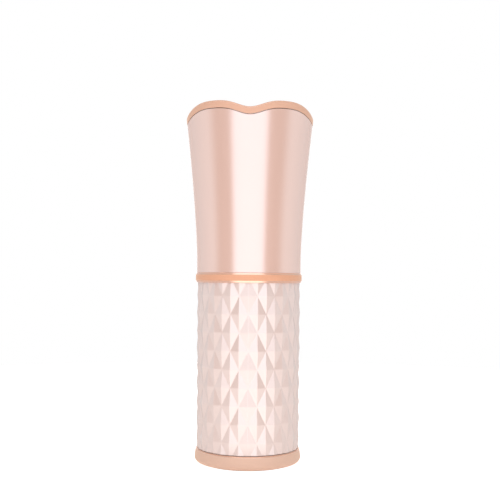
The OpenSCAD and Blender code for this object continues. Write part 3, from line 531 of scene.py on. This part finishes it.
def makeCrown():
    r, lip, edge = crown["rim"], crown["lip"], crown["lipEdge"]
    bottom = head["crownDrop"]
    pairs = [(bottom, 0.2), (bottom - 0.06, 0.06), (bottom - 0.2, 0)]
    pairs += [(r + (bottom - 0.3 - r) * (1 - i / 2), 0) for i in range(2)]
    pairs += [(r, 0)] + [(r * (1 - math.sin(math.radians(a))), r * (1 - math.cos(math.radians(a))))
                         for a in range(15, 91, 15)]
    pairs += [(0, (r + lip - edge) / 2), (0, lip - edge)]
    bm = bmesh.new()
    rings = [crownRing(d, i) for d, i in pairs]
    stackRings(bm, rings)
    bm.verts.ensure_lookup_table()
    bm.verts.index_update()
    firstRound = pairs.index((r, 0)) + 1
    for f in bm.faces:   # the round itself is polished
        if firstRound <= min(v.index for v in f.verts) // (2 * half) < firstRound + crown["polishedRows"]:
            f.material_index = 1
    last = [bm.verts[len(bm.verts) - 2 * half + k] for k in range(2 * half)]
    level = half // 2   # from here the rows bend towards the ridge
    corner = next(k for k in range(level, half) if last[k].co.y > crown["openingTop"])
    rows = [[last[0]]]
    for k in range(1, corner + 1):   # rows across the back part, up to the opening's upper edge
        right, left = last[k], last[2 * half - k]
        row = [left]
        for m in range(1, crown["acrossCount"]):
            x = left.co.x + (right.co.x - left.co.x) * m / crown["acrossCount"]
            y = right.co.y
            if k == corner:
                y = crown["openingTop"]
            elif k > level:
                y = (k - level) / (corner - 1 - level) * min(ridgeY(x), crown["openingTop"] - crown["ridgeGap"])
            row.append(bm.verts.new((x, y, topHeight(x, y, 0))))
        rows.append(row + [right])
    for a, b in zip(rows, rows[1:]):
        for m in range(len(b) - 1):
            bm.faces.new((a[0], b[m], b[m + 1]) if len(a) == 1 else (a[m], b[m], b[m + 1], a[m + 1]))
    edgeVerts = set(rows[-1]) | set(last[corner:2 * half - corner + 1])
    bmesh.ops.recalc_face_normals(bm, faces=bm.faces)
    openingEdges = [e for e in bm.edges if e.is_boundary and set(e.verts) <= edgeVerts]
    wall = bmesh.ops.extrude_edge_only(bm, edges=openingEdges)["geom"]
    bmesh.ops.translate(bm, vec=-crown["wallDepth"] * faceNormal,
                        verts=[v for v in wall if isinstance(v, bmesh.types.BMVert)])
    bevelEdges(bm, openingEdges, crown["openingEdge"], 3)

    def topPatch(x, acrossReach, near, far):   # faces of the crown's top within reach of a slot
        centres = [(f, f.calc_center_median()) for f in bm.faces if f.normal.z > crown["topNormal"]]
        return [f for f, c in centres if abs(c.x - x) < acrossReach and near < c.y < far]

    bm.normal_update()
    middle, wide, margin = crown["slots"] // 2, crown["slotHalf"], crown["cutMargin"]
    for i in range(-middle, middle + 1):   # air slots, cut by planes and opened
        x, reach = i * crown["slotPitch"], crown["slotReach"] - abs(i) * crown["slotTaper"]
        near, far = crown["slotY"] - reach, crown["slotY"] + reach
        for side in (-1, 1):
            bmesh.ops.bisect_plane(bm, geom=withEdges(topPatch(x, margin, near - 2, far + 2)),
                                   plane_co=(x + side * wide, 0, 0), plane_no=(1, 0, 0))
        for y in (near, far):
            bmesh.ops.bisect_plane(bm, geom=withEdges(topPatch(x, wide, y - margin, y + margin)),
                                   plane_co=(0, y, 0), plane_no=(0, 1, 0))
        hole = topPatch(x, wide, near, far)
        outline = {e for f in hole for e in f.edges if sum(g in hole for g in e.link_faces) == 1}
        bmesh.ops.delete(bm, geom=hole, context="FACES")
        wall = bmesh.ops.extrude_edge_only(bm, edges=[e for e in outline if e.is_valid])["geom"]
        bmesh.ops.translate(bm, vec=(0, 0, -crown["slotDepth"]),
                            verts=[v for v in wall if isinstance(v, bmesh.types.BMVert)])
    return bm


crownCap = fit(makeObject(makeCrown(), "crownCap", 32), (crownPlating, polishedCap), "housing", "rose_gold",
               "crown_bezel")
skin = crownCap.modifiers.new("skin", "SOLIDIFY")
skin.thickness = crown["skin"] * mm
skin.offset = -1
print("hair remover: crown done")


# pieces that keep the drawing's shape and get softened edges

def soften(bm, offset, segments=2, angle=35, test=None, flat=0.6):
    joinFlat(bm, flat)
    edges = [e for e in bm.edges if e.is_manifold and e.calc_face_angle(0) > math.radians(angle)
             and (test is None or test((e.verts[0].co + e.verts[1].co) / 2))]
    bevelEdges(bm, edges, offset, segments)
    return bm


def onFace(point):
    # along, down and out of the slanted face, from the middle of the window
    offset = point - windowMiddle
    return Vector((offset.x, offset.dot(downSlope), offset.dot(faceNormal)))


windowDrop = 17.0
windowMiddle = Vector((0, head["faceY"], ridgeZ)) + windowDrop * downSlope
faceToWorld = Matrix.Translation(windowMiddle) @ Matrix((
    (1, downSlope.x, faceNormal.x, 0), (0, downSlope.y, faceNormal.y, 0), (0, downSlope.z, faceNormal.z, 0),
    (0, 0, 0, 1)))
face = {"topEdge": -12.8, "edge": 0.18, "creaseAngle": 50}
attachment = {"outerEdge": 0.6, "creaseAngle": 50, "sideFrom": 20.5, "endFrom": 9.5, "cornerX": 15, "cornerY": 4,
              "cornerRadius": 5.7}   # the outline starts past these, measured from the middle of the window


def makeFacePlate():
    bm = cadCopy("face_plate")
    cut = windowMiddle + face["topEdge"] * downSlope
    bmesh.ops.bisect_plane(bm, geom=wholeMesh(bm), plane_co=cut, plane_no=-downSlope, clear_outer=True)
    bmesh.ops.holes_fill(bm, edges=[e for e in bm.edges if e.is_boundary])
    return soften(bm, face["edge"], 2, face["creaseAngle"], lambda p: onFace(p).z > -1)


def makeAttachment():
    bm = cadCopy("attachment_frame")
    front = max(onFace(v.co).z for v in bm.verts)

    def onOutline(point):
        p = onFace(point)
        x, y = abs(p.x), abs(p.y)
        pastCorner = math.hypot(x - attachment["cornerX"], y - attachment["cornerY"]) > attachment["cornerRadius"]
        inCorner = pastCorner and x > attachment["cornerX"] and y > attachment["cornerY"]
        return p.z > front - 0.05 and (x > attachment["sideFrom"] or y > attachment["endFrom"] or inCorner)

    soften(bm, attachment["outerEdge"], 4, attachment["creaseAngle"], onOutline)
    return bm


facePlate = fit(makeObject(makeFacePlate(), "facePlate", 25), faceWhite, "housing", "face_white", "face_plate")
attachmentFrame = fit(makeObject(makeAttachment(), "attachmentFrame", 25), faceWhite, "attachment", "face_white",
                      "attachment_frame")


def roundedRect(bm, width, height, radius, out, count=8):
    verts = bmesh.ops.create_grid(bm, x_segments=1, y_segments=1, size=0.5)["verts"]
    bmesh.ops.scale(bm, vec=(width, height, 1), verts=verts)
    bmesh.ops.translate(bm, vec=(0, 0, out), verts=verts)
    bmesh.ops.bevel(bm, geom=verts, offset=radius, offset_type="OFFSET", affect="VERTICES", segments=count,
                    profile=0.5, material=-1)
    flat = max((f for f in bm.faces), key=lambda f: len(f.verts))   # loops before it have lost their face
    edges = list(flat.edges)
    bmesh.ops.delete(bm, geom=[flat], context="FACES_ONLY")
    return edges


# outline of the window's metal trim, ring by ring
trim = [(32.4, 12.4, 2.4, 6.5), (32.4, 12.4, 2.4, 7.1), (32.1, 12.1, 2.3, 7.22), (31.0, 11.0, 1.9, 7.24),
        (30.5, 10.5, 1.8, 7.1), (29.5, 9.5, 1.5, 6.3), (29.5, 9.5, 1.5, 6.0)]   # width, height, corner, height


def makeTrim():
    bm = bmesh.new()
    loops = [roundedRect(bm, *size) for size in trim]   # each leaves only its outline
    for a, b in zip(loops, loops[1:] + loops[:1]):
        bmesh.ops.bridge_loops(bm, edges=a + b)
    bmesh.ops.transform(bm, matrix=faceToWorld, verts=bm.verts)
    return bm


windowTrim = fit(makeObject(makeTrim(), "windowTrim", 30), buttonPlating, "attachment", "rose_gold")
pin = {"radius": 1.2, "back": 3.3, "tip": 7.8, "dome": 0.7}


def makePin(side):
    low, high = nodeBox("contact_pin_" + side)
    bm = turnedPiece([(0, pin["back"]), (pin["radius"], pin["back"])]
                     + roundCorner(pin["radius"] - pin["dome"], pin["tip"] - pin["dome"], pin["dome"], 0, 90, 6)
                     + [(0, pin["tip"])], 40, False)
    bmesh.ops.translate(bm, vec=((low.x + high.x) / 2, 0, 0), verts=bm.verts)
    bmesh.ops.transform(bm, matrix=faceToWorld, verts=bm.verts)
    return bm


for side in ("left", "right"):
    fit(makeObject(makePin(side), side + "Pin", 40), contactSteel, side + "_contact_pin", "contact_steel",
        "contact_pin_" + side)
print("hair remover: slanted face done")


# controls on the front

button = {"flangeStep": 0.8, "flangeBack": 20.8, "flangeFront": 21.9, "round": 0.45, "rimWidth": 0.75,
          "rimEdge": 0.08, "dish": 0.45, "groove": 0.18, "seat": 0.4, "capBack": 0.55, "capRound": 0.25,
          "capBelow": 0.06, "reach": 0.95}
panel = {"edge": 0.22, "creaseAngle": 40, "flatAngle": 0.3}
levels = {"count": 5, "pitch": 1.9, "width": 0.8, "thick": 0.12, "short": 1.2, "tall": 2.8, "rise": 1.4,
          "edge": 0.03}


def makeButton(node, front):
    low, high = nodeBox(node)
    r = (high.x - low.x) / 2 - button["flangeStep"]
    rim, edge, groove = r - button["rimWidth"], button["rimEdge"], button["groove"]
    floorY, capY = front - groove - button["seat"], front - button["capBelow"]
    flange = r + button["flangeStep"]
    outer = turnedPiece([(0, button["flangeBack"]), (flange, button["flangeBack"]), (flange, button["flangeFront"]),
                         (r, button["flangeFront"])]
                        + roundCorner(r - button["round"], front - button["round"], button["round"], 0, 90, 5)
                        + [(rim + edge, front), (rim, front - edge), (rim, floorY), (0, floorY)], 96, False)
    cap = turnedPiece([(0, front - button["capBack"]), (rim - 0.02, front - button["capBack"]),
                       (rim - edge, front - groove), (rim - button["capRound"], capY)]
                      + [(rim * t / 10, capY - button["dish"] * (1 - (t / 10) ** 2)) for t in range(9, -1, -1)],
                      96, False)
    for bm in (outer, cap):   # turned upright, laid down to point out of the front
        bmesh.ops.rotate(bm, cent=(0, 0, 0), matrix=Matrix.Rotation(math.radians(-90), 3, "X"), verts=bm.verts)
        bmesh.ops.translate(bm, vec=(0, 0, (low.z + high.z) / 2), verts=bm.verts)
    return outer, cap


def frontRadius(z):
    return headRadius(z) + 0.1


for node in ("flash_button", "power_button"):
    low, high = nodeBox(node)
    outer, cap = makeButton(node, headRadius((low.z + high.z) / 2) + button["reach"])
    name = node.split("_")[0]
    fit(makeObject(outer, name + "Ring", 40), buttonPlating, node, "rose_gold", node)
    fit(makeObject(cap, name + "Cap", 40), faceWhite, node, "face_white")


def onPanelFront(point):
    return math.hypot(point.x, point.y) > headRadius(point.z) - 0.2


panelMesh = soften(cadCopy("control_panel"), panel["edge"], 2, panel["creaseAngle"], onPanelFront,
                   panel["flatAngle"])
controlPanel = fit(makeObject(panelMesh, "controlPanel", 25), buttonPlating, "housing", "rose_gold",
                   "control_panel")


def makeLevels():
    low = nodeBox("display_lens")[0]
    bm = bmesh.new()
    for i in range(levels["count"]):
        tall = levels["short"] + (levels["tall"] - levels["short"]) * i / (levels["count"] - 1)
        made = bmesh.ops.create_cube(bm, size=1)["verts"]
        z = low.z + levels["rise"] + tall / 2
        bmesh.ops.scale(bm, vec=(levels["width"], levels["thick"], tall), verts=made)
        bmesh.ops.translate(bm, vec=(0, frontRadius(z), z), verts=made)
        turn = (i - (levels["count"] - 1) / 2) * levels["pitch"] / frontRadius(z)
        bmesh.ops.rotate(bm, cent=(0, 0, 0), matrix=Matrix.Rotation(turn, 3, "Z"), verts=made)
    bevelEdges(bm, bm.edges, levels["edge"], 2)
    return bm


fit(makeObject(makeLevels(), "levelBars", 40), ledWhite, "housing", "led_white")
print("hair remover: controls done")


# studio

shot = {"place": (0.0006, -0.426, 0.0897), "roll": -0.45, "lens": 62.6, "sensor": 36, "shift": 0.056}
camera = bpy.data.objects.new("camera", bpy.data.cameras.new("camera"))
camera.location = shot["place"]
camera.rotation_euler = (math.radians(90), math.radians(shot["roll"]), 0)
camera.data.lens = shot["lens"]
camera.data.sensor_width = shot["sensor"]
camera.data.shift_y = shot["shift"]
scene.collection.objects.link(camera)
scene.camera = camera
scene.view_settings.view_transform = "Standard"

studio = {"front": (1.64, 1.8, 2.0), "gap": (0.08, 0.08, 0.08), "side": (0.72, 0.82, 0.88),
          "behind": (0.78, 0.78, 0.8), "back": (1.6, 1.6, 1.6), "above": (0.84, 0.84, 0.84), "strongest": 4,
          "gapTop": (0.2, 0.4), "bandTop": (0.5, 0.75)}   # the last two are heights in the tent, 1 overhead
ground = {"radius": 0.5, "paint": (0.6, 0.6, 0.6), "front": (1.3, 1.3, 1.3), "side": (0.3, 0.3, 0.3),
          "near": 0.45, "nearTo": (0.035, 0.06), "strongest": 2}   # dim inside the two distances of nearTo


def turnFromFront(tree, vector):   # 0 on the camera's side, 1 straight behind
    split = tree.nodes.new("ShaderNodeSeparateXYZ")
    tree.links.new(vector, split.inputs["Vector"])
    turn = mathNode(tree, "ARCTAN2", split.outputs["X"], mathNode(tree, "MULTIPLY", split.outputs["Y"], -1))
    return mathNode(tree, "DIVIDE", mathNode(tree, "ABSOLUTE", turn), math.pi)


def lightRamp(tree, share, stops, strongest):   # stops are (angle from the front, light)
    ramp = tree.nodes.new("ShaderNodeValToRGB")
    ramp.color_ramp.interpolation = "EASE"
    marks = ramp.color_ramp.elements
    while len(marks) < len(stops):
        marks.new(0.5)
    for mark, (angle, light) in zip(marks, stops):
        mark.position = angle / 180
        mark.color = (*[c / strongest for c in light], 1)
    tree.links.new(share, ramp.inputs["Fac"])
    return ramp.outputs["Color"]


def makeStudio():
    world = bpy.data.worlds.new("studio")
    scene.world = world
    world.use_nodes = True
    tree = world.node_tree
    out = tree.nodes["World Output"]
    tent = tree.nodes["Background"]
    place = tree.nodes.new("ShaderNodeTexCoord").outputs["Generated"]
    split = tree.nodes.new("ShaderNodeSeparateXYZ")
    tree.links.new(place, split.inputs["Vector"])
    turn, strongest = turnFromFront(tree, place), studio["strongest"]
    stops = [(0, "front"), (26, "front"), (41, "gap"), (60, "gap"), (86, "side"), (126, "side"),
             (142, "behind"), (158, "behind"), (168, "back"), (180, "back")]
    light = lightRamp(tree, turn, [(angle, studio[name]) for angle, name in stops], strongest)
    # the dark gaps end low down and the front band higher, in an even light overhead
    frontOnly = lightRamp(tree, turn, [(0, studio["front"]), (26, studio["front"]), (41, studio["above"])],
                          strongest)
    overhead = (*[c / strongest for c in studio["above"]], 1)
    for limits, higher in ((studio["gapTop"], frontOnly), (studio["bandTop"], overhead)):
        light = mixNode(tree, rangeNode(tree, split.outputs["Z"], *limits, kind="SMOOTHSTEP"), light, higher)
    tree.links.new(light, tent.inputs["Color"])
    tent.inputs["Strength"].default_value = strongest
    plain = tree.nodes.new("ShaderNodeBackground")
    plain.inputs["Color"].default_value = (1, 1, 1, 1)
    plain.inputs["Strength"].default_value = 1.0
    seen = tree.nodes.new("ShaderNodeLightPath")
    choose = tree.nodes.new("ShaderNodeMixShader")
    tree.links.new(seen.outputs["Is Camera Ray"], choose.inputs["Fac"])
    tree.links.new(tent.outputs[0], choose.inputs[1])
    tree.links.new(plain.outputs[0], choose.inputs[2])
    tree.links.new(choose.outputs[0], out.inputs["Surface"])


def makeFloor():
    bm = bmesh.new()
    bmesh.ops.create_circle(bm, cap_ends=True, segments=96, radius=ground["radius"] / mm)
    paint = surface("floorPaint", ground["paint"], 0.6, wander=0.004, wanderScale=6, Emission_Color=(1, 1, 1, 1))
    tree = paint.node_tree   # bright in front and dim close by for the object, plain white for the camera
    place = tree.nodes.new("ShaderNodeTexCoord").outputs["Object"]
    glow = lightRamp(tree, turnFromFront(tree, place),
                     [(0, ground["front"]), (24, ground["front"]), (42, ground["side"])], ground["strongest"])
    distance = tree.nodes.new("ShaderNodeVectorMath")
    distance.operation = "LENGTH"
    tree.links.new(place, distance.inputs[0])
    far = rangeNode(tree, distance.outputs["Value"], *ground["nearTo"], kind="SMOOTHSTEP")
    glow = mixNode(tree, far, ground["near"], mathNode(tree, "MULTIPLY", glow, ground["strongest"]), "FLOAT")
    seen = tree.nodes.new("ShaderNodeLightPath").outputs["Is Camera Ray"]
    shader = tree.nodes["Principled BSDF"]
    tree.links.new(mixNode(tree, seen, glow, 1.0, "FLOAT"), shader.inputs["Emission Strength"])
    obj = makeObject(bm, "floor", None)
    obj.data.materials.append(paint)
    return obj


makeStudio()
floor = makeFloor()
print("hair remover: studio done")
